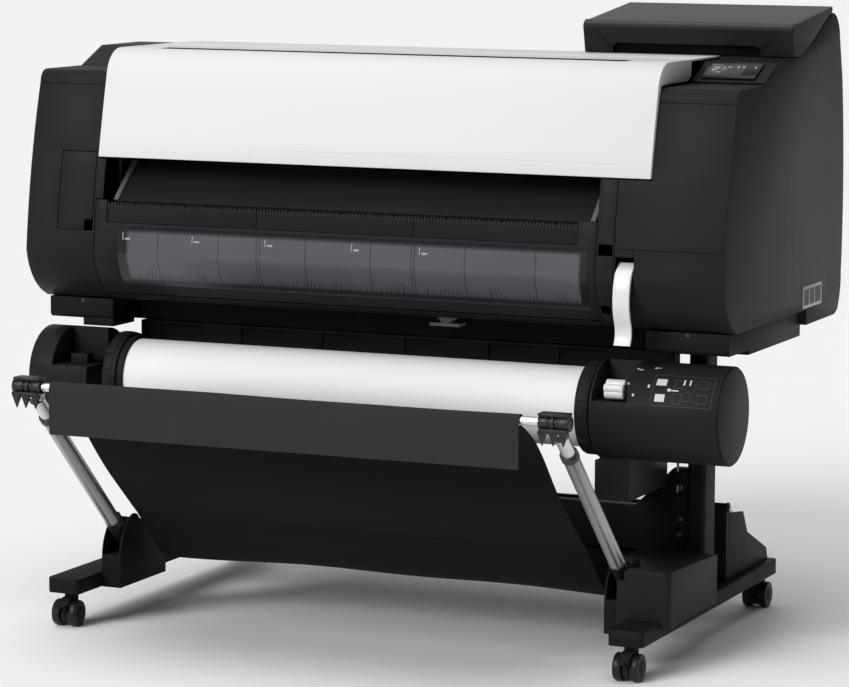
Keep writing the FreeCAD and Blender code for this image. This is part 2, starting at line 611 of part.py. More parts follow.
doc.recompute()
for obj in doc.Objects:
    if "Invalid" in obj.State or "Error" in obj.State:
        raise RuntimeError(f"{obj.Label} did not build: {obj.State}")
for piece in pieces:
    if piece.Shape.isNull() or not piece.Shape.isValid():
        raise RuntimeError(f"{piece.Label} has no valid shape")
os.makedirs("parts", exist_ok=True)
for piece in pieces:
    piece.Shape.exportStep(f"parts/{piece.Label}.step")
whole = Part.makeCompound([piece.Shape for piece in pieces]).BoundBox
print(len(pieces), "sub-parts,", "box", [round(value, 1) for value in (
    whole.XMin, whole.XMax, whole.YMin, whole.YMax, whole.ZMin, whole.ZMax)])
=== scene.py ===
# %% [markdown]
# # A large format plotter on its stand
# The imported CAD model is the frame: every node already has its right size and place, in metres, with X to
# the right, -Y to the front and Z up. This lesson gives each moulded part soft edges and a finish of its
# own, and adds the small pieces that CAD left plain: comb ribs, clips, caster caps, the printed panel and
# the cloth.

import json
import math

import bmesh
import bpy
from mathutils import Matrix, Vector


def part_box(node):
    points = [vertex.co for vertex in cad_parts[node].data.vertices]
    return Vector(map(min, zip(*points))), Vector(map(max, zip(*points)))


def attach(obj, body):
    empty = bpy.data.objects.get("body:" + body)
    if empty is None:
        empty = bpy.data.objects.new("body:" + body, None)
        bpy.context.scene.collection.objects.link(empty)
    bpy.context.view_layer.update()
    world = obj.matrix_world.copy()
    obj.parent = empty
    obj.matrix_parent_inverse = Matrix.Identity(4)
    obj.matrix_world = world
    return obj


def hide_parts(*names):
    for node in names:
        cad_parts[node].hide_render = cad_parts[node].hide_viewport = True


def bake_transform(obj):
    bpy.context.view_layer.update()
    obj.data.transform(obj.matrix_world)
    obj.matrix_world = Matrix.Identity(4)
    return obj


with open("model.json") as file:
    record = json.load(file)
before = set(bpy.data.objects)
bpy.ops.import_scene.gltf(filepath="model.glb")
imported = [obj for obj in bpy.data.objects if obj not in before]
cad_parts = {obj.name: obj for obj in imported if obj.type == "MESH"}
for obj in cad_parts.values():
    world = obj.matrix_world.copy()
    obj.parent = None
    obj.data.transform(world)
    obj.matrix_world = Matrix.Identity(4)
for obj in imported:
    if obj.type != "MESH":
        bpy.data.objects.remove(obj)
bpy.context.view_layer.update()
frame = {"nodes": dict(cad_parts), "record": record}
nodes = frame["nodes"]
joints = {joint["name"]: joint for joint in frame["record"]["behaviour"]["joints"]}
ROOT = "stand_and_casing"
slots = {part["node"]: part["material_slot"] for part in frame["record"]["subparts"]}
bodies = frame["record"]["behaviour"]["bodies"]
body_of = {node: body for body, members in bodies.items() for node in members}

# %% [markdown]
# ## Shader maths as plain sums
# A Signal wraps one output socket, so a mask can be written as `1 - mask` or `a * b`. Any other node
# comes from one method of the Finish class, which owns the material and its Principled shader.

# %% The Signal and Finish classes
class Signal:
    """One value in a material, with the usual operators."""

    def __init__(self, finish, socket):
        self.finish = finish
        self.socket = socket

    def math(self, operation, first, second):
        return self.finish.node("ShaderNodeMath", {"operation": operation}, first, second)

    def __add__(self, other):
        return self.math("ADD", self, other)

    def __sub__(self, other):
        return self.math("SUBTRACT", self, other)

    def __mul__(self, other):
        return self.math("MULTIPLY", self, other)

    def __rsub__(self, other):
        return self.math("SUBTRACT", other, self)

    __radd__ = __add__
    __rmul__ = __mul__


class Finish:
    """A material with one Principled shader."""

    def __init__(self, name, color, rough, metal=0.0, coat=0.0, gloss=0.5):
        self.material = bpy.data.materials.new(name)
        self.material.use_nodes = True
        self.tree = self.material.node_tree
        self.shader = self.tree.nodes["Principled BSDF"]
        self.shader.inputs["Base Color"].default_value = (*color, 1)
        self.shader.inputs["Roughness"].default_value = rough
        self.shader.inputs["Metallic"].default_value = metal
        self.shader.inputs["Coat Weight"].default_value = coat
        self.shader.inputs["Coat Roughness"].default_value = 0.15
        self.shader.inputs["Specular IOR Level"].default_value = gloss
        self.place = self.node("ShaderNodeTexCoord", {}, out="Object")
        self.x = self.node("ShaderNodeSeparateXYZ", {}, self.place, out="X")
        self.y = self.node("ShaderNodeSeparateXYZ", {}, self.place, out="Y")
        self.z = self.node("ShaderNodeSeparateXYZ", {}, self.place, out="Z")

    def node(self, kind, settings, *values, out=0, **named):
        made = self.tree.nodes.new(kind)
        for key, value in settings.items():
            setattr(made, key, value)
        for key, value in list(enumerate(values)) + list(named.items()):
            socket = made.inputs[key]
            if isinstance(value, Signal):
                self.tree.links.new(value.socket, socket)
            else:
                socket.default_value = value
        return Signal(self, made.outputs[out])

    def feed(self, name, signal):
        self.tree.links.new(signal.socket, self.shader.inputs[name])

    def above(self, value, edge, soft=0.0004):
        """0 below the edge and 1 above it."""
        return self.node(
            "ShaderNodeMapRange", {"interpolation_type": "SMOOTHSTEP"},
            value, edge - soft, edge + soft, 0.0, 1.0)

    def band(self, value, low, high, soft=0.0004):
        """1 between two edges."""
        return self.above(value, low, soft) * (1 - self.above(value, high, soft))

    def noise(self, scale, detail=3.0, stretch=None):
        place = self.place
        if stretch:
            place = self.node("ShaderNodeVectorMath", {"operation": "MULTIPLY"}, self.place, stretch)
        return self.node("ShaderNodeTexNoise", {}, Vector=place, Scale=scale, Detail=detail, out="Fac")

    def blend(self, mask, first, second):
        """First colour where the mask is 0, second where it is 1."""
        made = self.tree.nodes.new("ShaderNodeMix")
        made.data_type = "RGBA"
        for socket, value in ((made.inputs[0], mask), (made.inputs[6], first), (made.inputs[7], second)):
            if isinstance(value, Signal):
                self.tree.links.new(value.socket, socket)
            else:
                socket.default_value = value if socket.type == "VALUE" else (*value[:3], 1)
        return Signal(self, made.outputs[2])

    def maximum(self, first, second):
        return self.node("ShaderNodeMath", {"operation": "MAXIMUM"}, first, second)

    def bump(self, height, strength, distance=0.001):
        self.feed("Normal", self.node(
            "ShaderNodeBump", {}, Strength=strength, Distance=distance, Height=height, out="Normal"))


def shade(color, factor):
    """A colour made lighter or darker."""
    return tuple(min(1.0, part * factor) for part in color[:3])


# %% [markdown]
# ## Moulded plastic
# The casing is black plastic with a fine spark-eroded grain: the colour hardly changes, but roughness
# wanders a little and a tiny bump breaks up the highlights. Panel joints are drawn in the same material,
# as thin dark grooves at known places, because a joint between two flush mouldings is only a line.

# %% Plastic finishes
def grained(name, color, rough, grain=1500.0, seams=(), coat=0.0, depth=0.25, gloss=0.06):
    """Moulded plastic. A seam is (axis, place, other axis, low, high, extra limit)."""
    finish = Finish(name, color, rough, coat=coat, gloss=gloss)
    cloudy = finish.noise(6.0, 2.0)
    fine = finish.noise(grain, 2.0)
    wear = finish.noise(40.0, 4.0, (1.0, 1.0, 0.4))
    tone = finish.blend(cloudy, shade(color, 0.86), shade(color, 1.14))
    height = fine * depth
    groove = None
    for axis, place, other, low, high, front in seams:
        line = finish.band(getattr(finish, axis), place - 0.0007, place + 0.0007, 0.0003)
        line = line * finish.band(getattr(finish, other), low, high, 0.0005)
        line = line * (1 - finish.above(finish.y, front, 0.002))
        groove = line if groove is None else finish.maximum(groove, line)
    if groove is not None:
        tone = finish.blend(groove, tone, shade(color, 0.12))
        height = height - groove * 2.0
    finish.feed("Base Color", tone)
    finish.feed("Roughness", rough - 0.05 + cloudy * 0.04 + wear * 0.06)
    finish.bump(height, 0.35, 0.0004)
    return finish.material


BLACK = (0.0180, 0.0180, 0.0185)
FRONT = -0.05
SHOULDER_SEAM = 1.012
right_seams = [
    ("z", SHOULDER_SEAM, "x", 0.551, 0.6945, FRONT),
    ("z", 0.754, "x", 0.489, 0.6945, FRONT),
    ("x", 0.524, "z", 0.707, 0.754, FRONT),
]
left_seams = [("z", SHOULDER_SEAM, "x", -0.6945, -0.551, FRONT)]
finishes = {
    "right_casing": grained("right_casing_plastic", BLACK, 0.44, seams=right_seams),
    "left_casing": grained("left_casing_plastic", BLACK, 0.44, seams=left_seams),
    "casing_black": grained("casing_plastic", BLACK, 0.44),
    "stand_black": grained(
        "stand_powder_coat", (0.0100, 0.0100, 0.0105), 0.5, 900.0, depth=0.5, gloss=0.08),
    "wheel_rubber": grained("caster_nylon", (0.012, 0.012, 0.0125), 0.34, 700.0, gloss=0.25),
    "knob_grey": grained("knob_plastic", (0.24, 0.25, 0.26), 0.4),
    "gear_nylon": grained("gear_nylon", (0.72, 0.71, 0.66), 0.45),
    "roller_rubber": grained("roller_rubber", (0.05, 0.05, 0.05), 0.7, 2500.0, depth=0.8),
    "ink_tank_plastic": grained("ink_tank_plastic", (0.16, 0.16, 0.17), 0.35),
    "lever_white": grained("lever_plastic", (0.78, 0.78, 0.77), 0.32, 2200.0, coat=0.15, gloss=0.5),
    # Near-black painted shade for insides that lie in shadow, such as the mouth above the comb and the feed
    # slot
    "dark_gap": grained("painted_shade_inside", (0.004, 0.004, 0.004), 0.7, gloss=0.08),
    "icon_white": grained("icon_print", (0.62, 0.62, 0.62), 0.45, 2200.0),
    "icon_grey": grained("icon_grey_print", (0.10, 0.10, 0.105), 0.45, 2200.0),
    "rail_grey": grained("rail_plastic", (0.13, 0.13, 0.135), 0.4),
    "clip_black": grained("clip_plastic", (0.020, 0.020, 0.021), 0.36, gloss=0.3),
    "comb_grey": grained("comb_plastic", (0.030, 0.030, 0.030), 0.4),
    "icon_line": grained("icon_line_print", (0.055, 0.055, 0.057), 0.45, 2200.0),
    "plate_silver": grained("side_plate_foil", (0.40, 0.40, 0.41), 0.35, gloss=0.5),
    "steel_dark": grained("screw_black_zinc", (0.03, 0.03, 0.031), 0.3, gloss=0.5),
}
print(len(finishes), "plastic finishes")

# %% [markdown]
# ## White cover
# The cover is near-white, semi-gloss, with a shallow horizontal line above its lower edge and two short
# upright ticks below it. They are grooves about 1 mm wide, so a bump and a slight tone do them.

# %% White cover finish
def white_cover():
    color = (0.74, 0.74, 0.735)
    finish = Finish("cover_plastic", color, 0.5, gloss=0.3)
    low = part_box("top_cover")[0].z
    step = finish.band(finish.z, low + 0.0235, low + 0.0245, 0.0003)
    step = step * finish.band(finish.x, -0.17, 0.50, 0.02)
    for mark in (-0.235, 0.118):
        tick = finish.band(finish.x, mark - 0.0006, mark + 0.0006, 0.0003)
        tick = tick * (1 - finish.above(finish.z, low + 0.0245))
        step = finish.maximum(step, tick)
    cloudy = finish.noise(3.0, 2.0)
    tone = finish.blend(cloudy, shade(color, 0.985), shade(color, 1.015))
    finish.feed("Base Color", finish.blend(step * 0.5, tone, shade(color, 0.72)))
    finish.feed("Roughness", 0.48 + cloudy * 0.05)
    finish.bump(finish.noise(1200.0, 2.0) * 0.12 - step, 0.3, 0.0004)
    return finish.material


finishes["cover_white"] = white_cover()

# %% [markdown]
# ## Ink lid
# The lid is the same black plastic. Its sloping top is painted paler, a painted highlight for the light
# it catches, and the finger recess under its front edge is painted near-black, as painted shade.

# %% Ink lid finish
def ink_lid():
    finish = Finish("ink_lid_plastic", BLACK, 0.42, gloss=0.06)
    low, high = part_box("ink_cover")
    slope = 0.112
    # Painted highlight: the sloping top gets a paler colour for the light it catches
    top = finish.above(finish.z - finish.y * slope, high.z - high.y * slope - 0.0035, 0.0025)
    # Painted shade: the finger recess under the front edge is made near-black
    inside = finish.above(finish.y, low.y + 0.0125, 0.002)
    inside = inside * (1 - finish.above(finish.z, low.z + 0.024, 0.001))
    cloudy = finish.noise(5.0, 2.0)
    sheen = finish.blend(cloudy, (0.062, 0.062, 0.063), (0.074, 0.074, 0.075))
    tone = finish.blend(top, finish.blend(cloudy, shade(BLACK, 0.9), shade(BLACK, 1.2)), sheen)
    finish.feed("Base Color", finish.blend(inside, tone, shade(BLACK, 0.15)))
    finish.feed("Roughness", 0.40 + cloudy * 0.05)
    finish.bump(finish.noise(1500.0, 2.0), 0.12, 0.0004)
    return finish.material


finishes["lid_grey"] = ink_lid()

# %% [markdown]
# ## Smoked lens
# The guide below the mouth is a smoked, purple-grey moulding over ribs. It has a dark border, thin dark
# rib lines at uneven places, short pale ticks for paper widths at its top, and fine dark teeth that show
# through along its lower edge. All of that lies inside one moulding, so it is one material.

# %% Lens finish
def smoked_lens():
    finish = Finish("smoked_lens", (0.10, 0.092, 0.11), 0.24, coat=0.2, gloss=0.3)
    low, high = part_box("window_lens")
    clear = finish.band(finish.x, low.x + 0.020, high.x - 0.015, 0.004)
    clear = clear * finish.band(finish.z, low.z + 0.012, high.z - 0.006, 0.004)
    ribs = None
    for place in (-0.416, -0.290, -0.211, -0.205, -0.112, 0.019, 0.100, 0.106, 0.205, 0.341):
        line = finish.band(finish.x, place - 0.0010, place + 0.0010, 0.0008)
        ribs = line if ribs is None else ribs + line
    teeth = finish.node("ShaderNodeTexWave", {"wave_type": "BANDS", "bands_direction": "X"},
                        Vector=finish.place, Scale=38.0, Distortion=6.0, out="Fac")
    ragged = finish.noise(22.0, 3.0, (1.0, 0.0, 0.0))
    teeth = teeth * (1 - finish.above(finish.z - ragged * 0.05, low.z - 0.004, 0.010))
    ticks = None
    for place in (-0.490, -0.345, -0.195, -0.020, 0.115):
        mark = finish.band(finish.x, place, place + 0.0016)
        mark = mark * finish.band(finish.z, high.z - 0.022, high.z - 0.008)
        small = finish.band(finish.x, place + 0.005, place + 0.016) * finish.band(
            finish.z, high.z - 0.021, high.z - 0.0175)
        ticks = mark + small if ticks is None else ticks + mark + small
    hazy = finish.noise(5.0, 3.0)
    glass = finish.blend(hazy, (0.088, 0.080, 0.098), (0.118, 0.108, 0.128))
    glass = finish.blend(ribs * 0.75, glass, (0.03, 0.028, 0.04))
    glass = finish.blend(teeth * 0.8, glass, (0.035, 0.032, 0.04))
    tone = finish.blend(clear, (0.016, 0.016, 0.017), glass)
    tone = finish.blend(ticks, tone, (0.40, 0.40, 0.42))
    finish.feed("Base Color", tone)
    finish.feed("Roughness", 0.2 + hazy * 0.08)
    finish.bump(ribs * 0.6, 0.3, 0.0006)
    return finish.material


finishes["lens_smoke"] = smoked_lens()

# %% [markdown]
# ## Paper, metal and screen
# A wound roll shows its layers only at the ends; along its width it is smooth bright paper with a faint
# edge where the last turn lies. The arms are satin anodised tube, and their collar and ring are black
# plastic on the same part, picked out by the distance along the arm from its pivot.

# %% Paper finish
def wound_paper():
    finish = Finish("wound_paper", (0.86, 0.86, 0.85), 0.62)
    low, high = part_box("paper_roll")
    centre = (low + high) / 2
    off = finish.node("ShaderNodeVectorMath", {"operation": "SUBTRACT"}, finish.place, centre)
    flat = finish.node("ShaderNodeVectorMath", {"operation": "MULTIPLY"}, off, (0.0, 1.0, 1.0))
    radius = finish.node("ShaderNodeVectorMath", {"operation": "LENGTH"}, flat, out="Value")
    layers = finish.node("ShaderNodeMath", {"operation": "SINE"}, radius * 4200.0)
    ends = 1 - finish.band(finish.x, low.x + 0.0006, high.x - 0.0006)
    soft = finish.noise(2.2, 3.0, (0.6, 1.0, 1.0))
    fibre = finish.noise(900.0, 2.0)
    tone = finish.blend(soft, (0.92, 0.92, 0.915), (0.95, 0.95, 0.945))
    finish.feed("Base Color", finish.blend(layers * ends * 0.25, tone, (0.55, 0.54, 0.51)))
    finish.feed("Roughness", 0.58 + fibre * 0.08)
    finish.bump(fibre * 0.3 + layers * ends, 0.2, 0.0002)
    return finish.material


finishes["paper"] = wound_paper()


# %% Metal finishes
def satin_metal(name, color, rough, brush=(0.02, 1.0, 1.0)):
    finish = Finish(name, color, rough, metal=1.0)
    lines = finish.noise(700.0, 2.0, brush)
    smear = finish.noise(9.0, 3.0)
    finish.feed("Base Color", finish.blend(smear, shade(color, 0.92), shade(color, 1.05)))
    finish.feed("Roughness", rough - 0.06 + lines * 0.12)
    finish.bump(lines, 0.12, 0.0002)
    return finish


fold = joints["basket_fold"]
extend = joints["basket_extend"]
pivot = Vector(fold["pos_m"])
along = Vector(extend["axis"]).normalized()
inward = Vector((0, along.z, -along.y))


def arm_finish():
    finish = satin_metal("arm_anodised", (0.42, 0.42, 0.43), 0.34, (1.0, 0.03, 0.03))
    off = finish.node("ShaderNodeVectorMath", {"operation": "SUBTRACT"}, finish.place, pivot)
    reach = finish.node("ShaderNodeVectorMath", {"operation": "DOT_PRODUCT"}, off, along, out="Value")
    black = finish.band(reach, 0.0575, 0.0665) + finish.above(reach, 0.3935)
    metal = finish.shader.inputs["Base Color"].links[0].from_socket
    rough = finish.shader.inputs["Roughness"].links[0].from_socket
    finish.feed("Base Color", finish.blend(black, Signal(finish, metal), BLACK))
    finish.feed("Metallic", 1 - black)
    finish.feed("Roughness", Signal(finish, rough) + black * 0.1)
    return finish.material


finishes["arm_silver"] = satin_metal("rod_anodised", (0.70, 0.71, 0.72), 0.3, (1.0, 0.03, 0.03)).material
finishes["arm_tube"] = arm_finish()
finishes["steel"] = satin_metal("zinc_steel", (0.48, 0.49, 0.50), 0.32).material


# %% [markdown]
# The touch screen is black glass. Its picture is generic: a status line, one block of short bars and a
# few dots, with no lettering.

# %% Screen finish
def touch_picture():
    finish = Finish("touch_glass", (0.010, 0.010, 0.012), 0.2, gloss=0.25)
    low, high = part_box("touch_screen")
    width = high.x - low.x
    depth = high.y - low.y
    across = (finish.x - low.x) * (1 / width)
    up = (finish.y - low.y) * (1 / depth)
    marks = None
    rows = (
        (0.80, 0.06, 0.26), (0.66, 0.10, 0.46), (0.56, 0.10, 0.38), (0.46, 0.10, 0.42), (0.34, 0.14, 0.30))
    broken = finish.above(finish.noise(420.0, 0.0, (1.0, 0.2, 0.2)), 0.48, 0.05)
    for row, start, end in rows:
        bar = finish.band(up, row - 0.025, row + 0.025, 0.01) * finish.band(across, start, end, 0.01)
        bar = bar * broken
        marks = bar if marks is None else marks + bar
    for dot in (0.56, 0.66, 0.88):
        marks = marks + finish.band(up, 0.62, 0.72, 0.02) * finish.band(across, dot, dot + 0.035, 0.01)
    panel = finish.band(up, 0.12, 0.90, 0.02) * finish.band(across, 0.05, 0.70, 0.02)
    tone = finish.blend(panel, (0.010, 0.010, 0.012), (0.045, 0.043, 0.040))
    finish.feed("Base Color", finish.blend(marks * 0.8, tone, (0.5, 0.5, 0.48)))
    smear = finish.noise(30.0, 3.0)
    finish.feed("Roughness", 0.18 + smear * 0.08)
    return finish.material


finishes["screen"] = touch_picture()


# %% [markdown]
# ## Woven cloth
# The basket is a black plain weave. Two fine waves at right angles, along the width and along the drop,
# make the threads; a slow noise makes the faint clouds that dark cloth shows, and a little sheen lifts it
# at low angles.

# %% Cloth finish
def weave(name, color, rough=0.78):
    finish = Finish(name, color, rough)
    finish.shader.inputs["Specular IOR Level"].default_value = 0.05
    finish.shader.inputs["Sheen Weight"].default_value = 0.04
    finish.shader.inputs["Sheen Roughness"].default_value = 0.5
    warp = finish.node("ShaderNodeMath", {"operation": "SINE"}, finish.x * 5200.0)
    weft = finish.node("ShaderNodeMath", {"operation": "SINE"}, (finish.z + finish.y) * 5200.0)
    slow = finish.noise(7.0, 4.0)
    threads = warp * weft
    clouds = slow * 0.6 + threads * 0.15 + 0.1
    finish.feed("Base Color", finish.blend(clouds, shade(color, 0.8), shade(color, 1.35)))
    finish.feed("Roughness", rough - 0.04 + slow * 0.08)
    finish.bump(threads, 0.3, 0.0003)
    return finish.material


finishes["cloth"] = weave("basket_cloth", (0.0050, 0.0050, 0.0052))
finishes["flap_cloth"] = weave("flap_cloth", (0.030, 0.030, 0.0305), 0.7)
print(len(finishes), "finishes in all")


# %% [markdown]
# ## Soft edges on moulded parts
# Real mouldings have no knife edges. Each hard node is copied, its loose triangles are merged and its
# flat areas joined into whole faces, and every sharp edge is then bevelled. The copy replaces the node in
# the picture only.

# %% Copy a node with rounded edges
def finish_mesh(bm, name, material, body, sharp=32.0):
    """Turn a bmesh into a piece that rides on a body, smooth except at sharp edges."""
    for face in bm.faces:
        face.smooth = True
    for edge in bm.edges:
        edge.smooth = len(edge.link_faces) == 2 and edge.calc_face_angle(0.0) < math.radians(sharp)
    mesh = bpy.data.meshes.new(name)
    bm.to_mesh(mesh)
    bm.free()
    mesh.materials.append(finishes[material])
    piece = bpy.data.objects.new(name, mesh)
    bpy.context.collection.objects.link(piece)
    if body:
        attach(piece, body)
    return piece


def soften(node, width, material=None, segments=2, wide=()):
    """Replace a node with a copy whose sharp edges are rounded; wide lists an edge test and its radius."""
    bm = bmesh.new()
    bm.from_mesh(nodes[node].data)
    bmesh.ops.remove_doubles(bm, verts=bm.verts, dist=1e-5)
    bmesh.ops.dissolve_limit(
        bm, angle_limit=math.radians(0.6), verts=bm.verts, edges=bm.edges, delimit={"NORMAL"})
    for test, radius in wide:
        chosen = [edge for edge in bm.edges if edge.calc_face_angle(0.0) > 0.6
                  and test((edge.verts[0].co + edge.verts[1].co) / 2, edge.verts[0].co - edge.verts[1].co)]
        bmesh.ops.bevel(
            bm, geom=chosen, offset=radius, offset_type="OFFSET", segments=6, profile=0.5, affect="EDGES",
            clamp_overlap=True, material=-1)
    sharp = [
        edge for edge in bm.edges
        if len(edge.link_faces) == 2 and edge.calc_face_angle(0.0) > math.radians(38)
    ]
    bmesh.ops.bevel(
        bm, geom=sharp, offset=width, offset_type="OFFSET", segments=segments, profile=0.5, affect="EDGES",
        clamp_overlap=True, material=-1)
    piece = finish_mesh(bm, f"{node}_moulding", material or slots[node], body_of[node])
    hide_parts(node)
    return piece


soft = {
    "right_side_cover": (0.0016, "right_casing"), "left_side_cover": (0.0016, "left_casing"),
    "front_frame": (0.0008, None), "access_door": (0.0010, None), "output_guide": (0.0010, None),
    "top_cover": (0.0014, None), "top_rear_cover": (0.0012, None), "back_panel": (0.0010, None),
    "ink_housing": (0.0014, None), "control_panel": (0.0010, None),
    "touch_screen": (0.0010, None), "release_lever": (0.0018, None), "roll_lock_lever": (0.0016, None),
    "left_roll_housing": (0.0020, None), "right_roll_housing": (0.0020, None), "roll_end_cap": (0.0012, None),
    "roll_flanges": (0.0016, None), "bottom_pan": (0.0016, None), "arm_brackets": (0.0014, None),
    "right_foot_cover": (0.0025, None), "rear_rod_brackets": (0.0010, None), "leg_cross_beam": (0.0016, None),
    "roll_beam": (0.0012, None), "comb_bar": (0.0008, None),
    "foot_beams": (0.0015, None), "legs": (0.0015, None), "arm_tubes": (0.0008, "arm_tube"),
}
for side in ("left", "right"):
    for row in ("front", "rear"):
        soft[f"{row}_{side}_caster_fork"] = (0.0008, None)
        soft[f"{row}_{side}_caster_wheels"] = (0.0025, None)
made = {node: soften(node, width, material) for node, (width, material) in soft.items()}
lid_low, lid_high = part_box("ink_cover")
GRIP_TOP = 1.101
GRIP_ENDS = (0.343, 0.632)


def grip_corner(middle, run):
    at_end = min(abs(middle.x - end) for end in GRIP_ENDS) < 0.001
    return at_end and abs(middle.z - GRIP_TOP) < 0.001 and abs(run.y) > abs(run.x) + abs(run.z)


def lid_side_edge(middle, run):
    return min(abs(middle.x - lid_low.x), abs(middle.x - lid_high.x)) < 0.0005 and middle.z > lid_low.z + 0.02


made["ink_cover"] = soften(
    "ink_cover", 0.0014, wide=((grip_corner, 0.012), (lid_side_edge, 0.005)))
print(len(made), "mouldings with rounded edges")

# %% Finishes on the other nodes
for node, thing in nodes.items():
    if node not in made:
        thing.data.materials.clear()
        thing.data.materials.append(finishes[slots[node]])
        for face in thing.data.polygons:
            face.material_index = 0

# %% [markdown]
# ## Small helpers for new pieces
# A block is a cube moved to its two corners and bevelled; a disc is a short cylinder along one axis. Both
# are joined into one bmesh where many of the same kind ride together.

# %% Block and disc helpers
def add_block(bm, low, high, bevel=0.0006, segments=2, turn=None):
    """Rounded block between two corners, optionally turned about its middle."""
    low, high = Vector(low), Vector(high)
    size = high - low
    middle = Matrix.Translation((low + high) / 2)
    place = middle @ (turn or Matrix.Identity(4)) @ Matrix.Diagonal((*size, 1))
    cube = bmesh.ops.create_cube(bm, size=1.0, matrix=place)
    if bevel:
        edges = {edge for vert in cube["verts"] for edge in vert.link_edges}
        bmesh.ops.bevel(
            bm, geom=list(edges), offset=bevel, offset_type="OFFSET", segments=segments, profile=0.5,
            affect="EDGES", clamp_overlap=True, material=-1)


AXIS_TURN = {
    "x": Matrix.Rotation(math.radians(90), 4, "Y"),
    "y": Matrix.Rotation(math.radians(90), 4, "X"),
    "z": Matrix.Identity(4),
}


def add_disc(bm, centre, radius, depth, axis="x", segments=40, bevel=0.0004):
    """Round piece along an axis, with its rims bevelled."""
    place = Matrix.Translation(Vector(centre)) @ AXIS_TURN[axis]
    made_disc = bmesh.ops.create_cone(
        bm, cap_ends=True, segments=segments, radius1=radius, radius2=radius, depth=depth, matrix=place)
    if bevel:
        rims = {edge for vert in made_disc["verts"] for edge in vert.link_edges
                if any(len(face.verts) > 4 for face in edge.link_faces)}
        bmesh.ops.bevel(
            bm, geom=list(rims), offset=bevel, offset_type="OFFSET", segments=2, profile=0.5, affect="EDGES",
            clamp_overlap=True, material=-1)


# %% [markdown]
# ## Camera, floor and light
# The camera stands a little to the right and a little above, far off with a long lens. The floor is pale
# and plain. One wide soft light comes from the front on the left, one from above and a weak one from
# behind, so the right side stays nearly black.

# %% Camera
AZIMUTH, ELEVATION, ROLL = (math.radians(angle) for angle in (23.19, 7.357, 0.423))
ahead = Vector((-math.sin(AZIMUTH) * math.cos(ELEVATION), math.cos(AZIMUTH) * math.cos(ELEVATION),
                -math.sin(ELEVATION)))
level = Vector((math.cos(AZIMUTH), math.sin(AZIMUTH), 0))
over = level.cross(ahead)
right = math.cos(ROLL) * level + math.sin(ROLL) * over
above = -math.sin(ROLL) * level + math.cos(ROLL) * over
camera_data = bpy.data.cameras.new("camera")
camera_data.lens = 152.0
camera_data.sensor_width = 36.0
camera_data.shift_x = 0.00489
camera_data.shift_y = 0.00302
camera_data.clip_end = 200.0
camera = bpy.data.objects.new("camera", camera_data)
turned = Matrix((right, above, -ahead)).transposed().to_4x4()
camera.matrix_world = Matrix.Translation((2.65908, -6.11639, 1.39303)) @ turned
bpy.context.collection.objects.link(camera)
bpy.context.scene.camera = camera

# %% Floor and lights
floor_mesh = bmesh.new()
bmesh.ops.create_grid(floor_mesh, x_segments=1, y_segments=1, size=60.0)
floor_data = bpy.data.meshes.new("floor")
floor_mesh.to_mesh(floor_data)
floor_mesh.free()
floor = bpy.data.objects.new("floor", floor_data)
bpy.context.collection.objects.link(floor)
floor_paint = Finish("floor_paint", (0.97, 0.97, 0.97), 0.9, gloss=0.1)
floor_data.materials.append(floor_paint.material)


def soft_sun(name, source, power, spread):
    """Very wide soft light that comes from a direction."""
    data = bpy.data.lights.new(name, "SUN")
    data.energy = power
    data.angle = math.radians(spread)
    lamp = bpy.data.objects.new(name, data)
    lamp.matrix_world = Vector(source).to_track_quat("Z", "Y").to_matrix().to_4x4()
    bpy.context.collection.objects.link(lamp)


soft_sun("front_left_light", (-0.42, -1.0, 0.62), 2.0, 30)
soft_sun("top_light", (-0.10, -0.15, 1.0), 1.5, 60)
soft_sun("rear_light", (-0.5, 1.0, 0.6), 0.35, 60)
world = bpy.data.worlds.new("studio")
world.use_nodes = True
world.node_tree.nodes["Background"].inputs["Color"].default_value = (1, 1, 1, 1)
world.node_tree.nodes["Background"].inputs["Strength"].default_value = 0.10
bpy.context.scene.world = world
bpy.context.scene.view_settings.view_transform = "Standard"

# %% [markdown]
# ## The basket cloth
# One cloth hangs from the front bar to the rear rod. Its sleeve wraps the bar and a short flap hangs in
# front. The main drop runs down beside the arms, turns under near the floor and climbs back to the rear
# rod. The arms fold and slide, so the cloth is made in three stretches that share their seams: one on the
# bar, one between bar and arms, and one between arms and stand. A grid is made and laid on a curve, then
# given slow folds.

# %% Cloth helpers
bar_low, bar_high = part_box("front_bar")
bar_centre = (bar_low + bar_high) / 2
bar_radius = (bar_high.z - bar_low.z) / 2
sling_low, sling_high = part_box("basket_sling")
CLOTH_LEFT, CLOTH_RIGHT = sling_low.x, sling_high.x
CLOTH_WIDTH = CLOTH_RIGHT - CLOTH_LEFT
THICK = 0.0011


def smooth_path(points, count):
    """Even points on a smooth curve through the given (y, z) points."""
    curve = bpy.data.curves.new("path", "CURVE")
    spline = curve.splines.new("NURBS")
    spline.points.add(len(points) - 1)
    for point, (y, z) in zip(spline.points, points):
        point.co = (0, y, z, 1)
    spline.order_u = 3
    spline.use_endpoint_u = True
    spline.resolution_u = 24
    holder = bpy.data.objects.new("path", curve)
    mesh = bpy.data.meshes.new_from_object(holder)
    line = [vert.co.copy() for vert in mesh.vertices]
    bpy.data.objects.remove(holder)
    bpy.data.meshes.remove(mesh)
    lengths = [0.0]
    for first, second in zip(line, line[1:]):
        lengths.append(lengths[-1] + (second - first).length)
    total = lengths[-1]
    even = []
    index = 0
    for i in range(count):
        wanted = total * i / (count - 1)
        while index < len(line) - 2 and lengths[index + 1] < wanted:
            index += 1
        span = lengths[index + 1] - lengths[index]
        even.append(line[index].lerp(line[index + 1], (wanted - lengths[index]) / span))
    return even, total


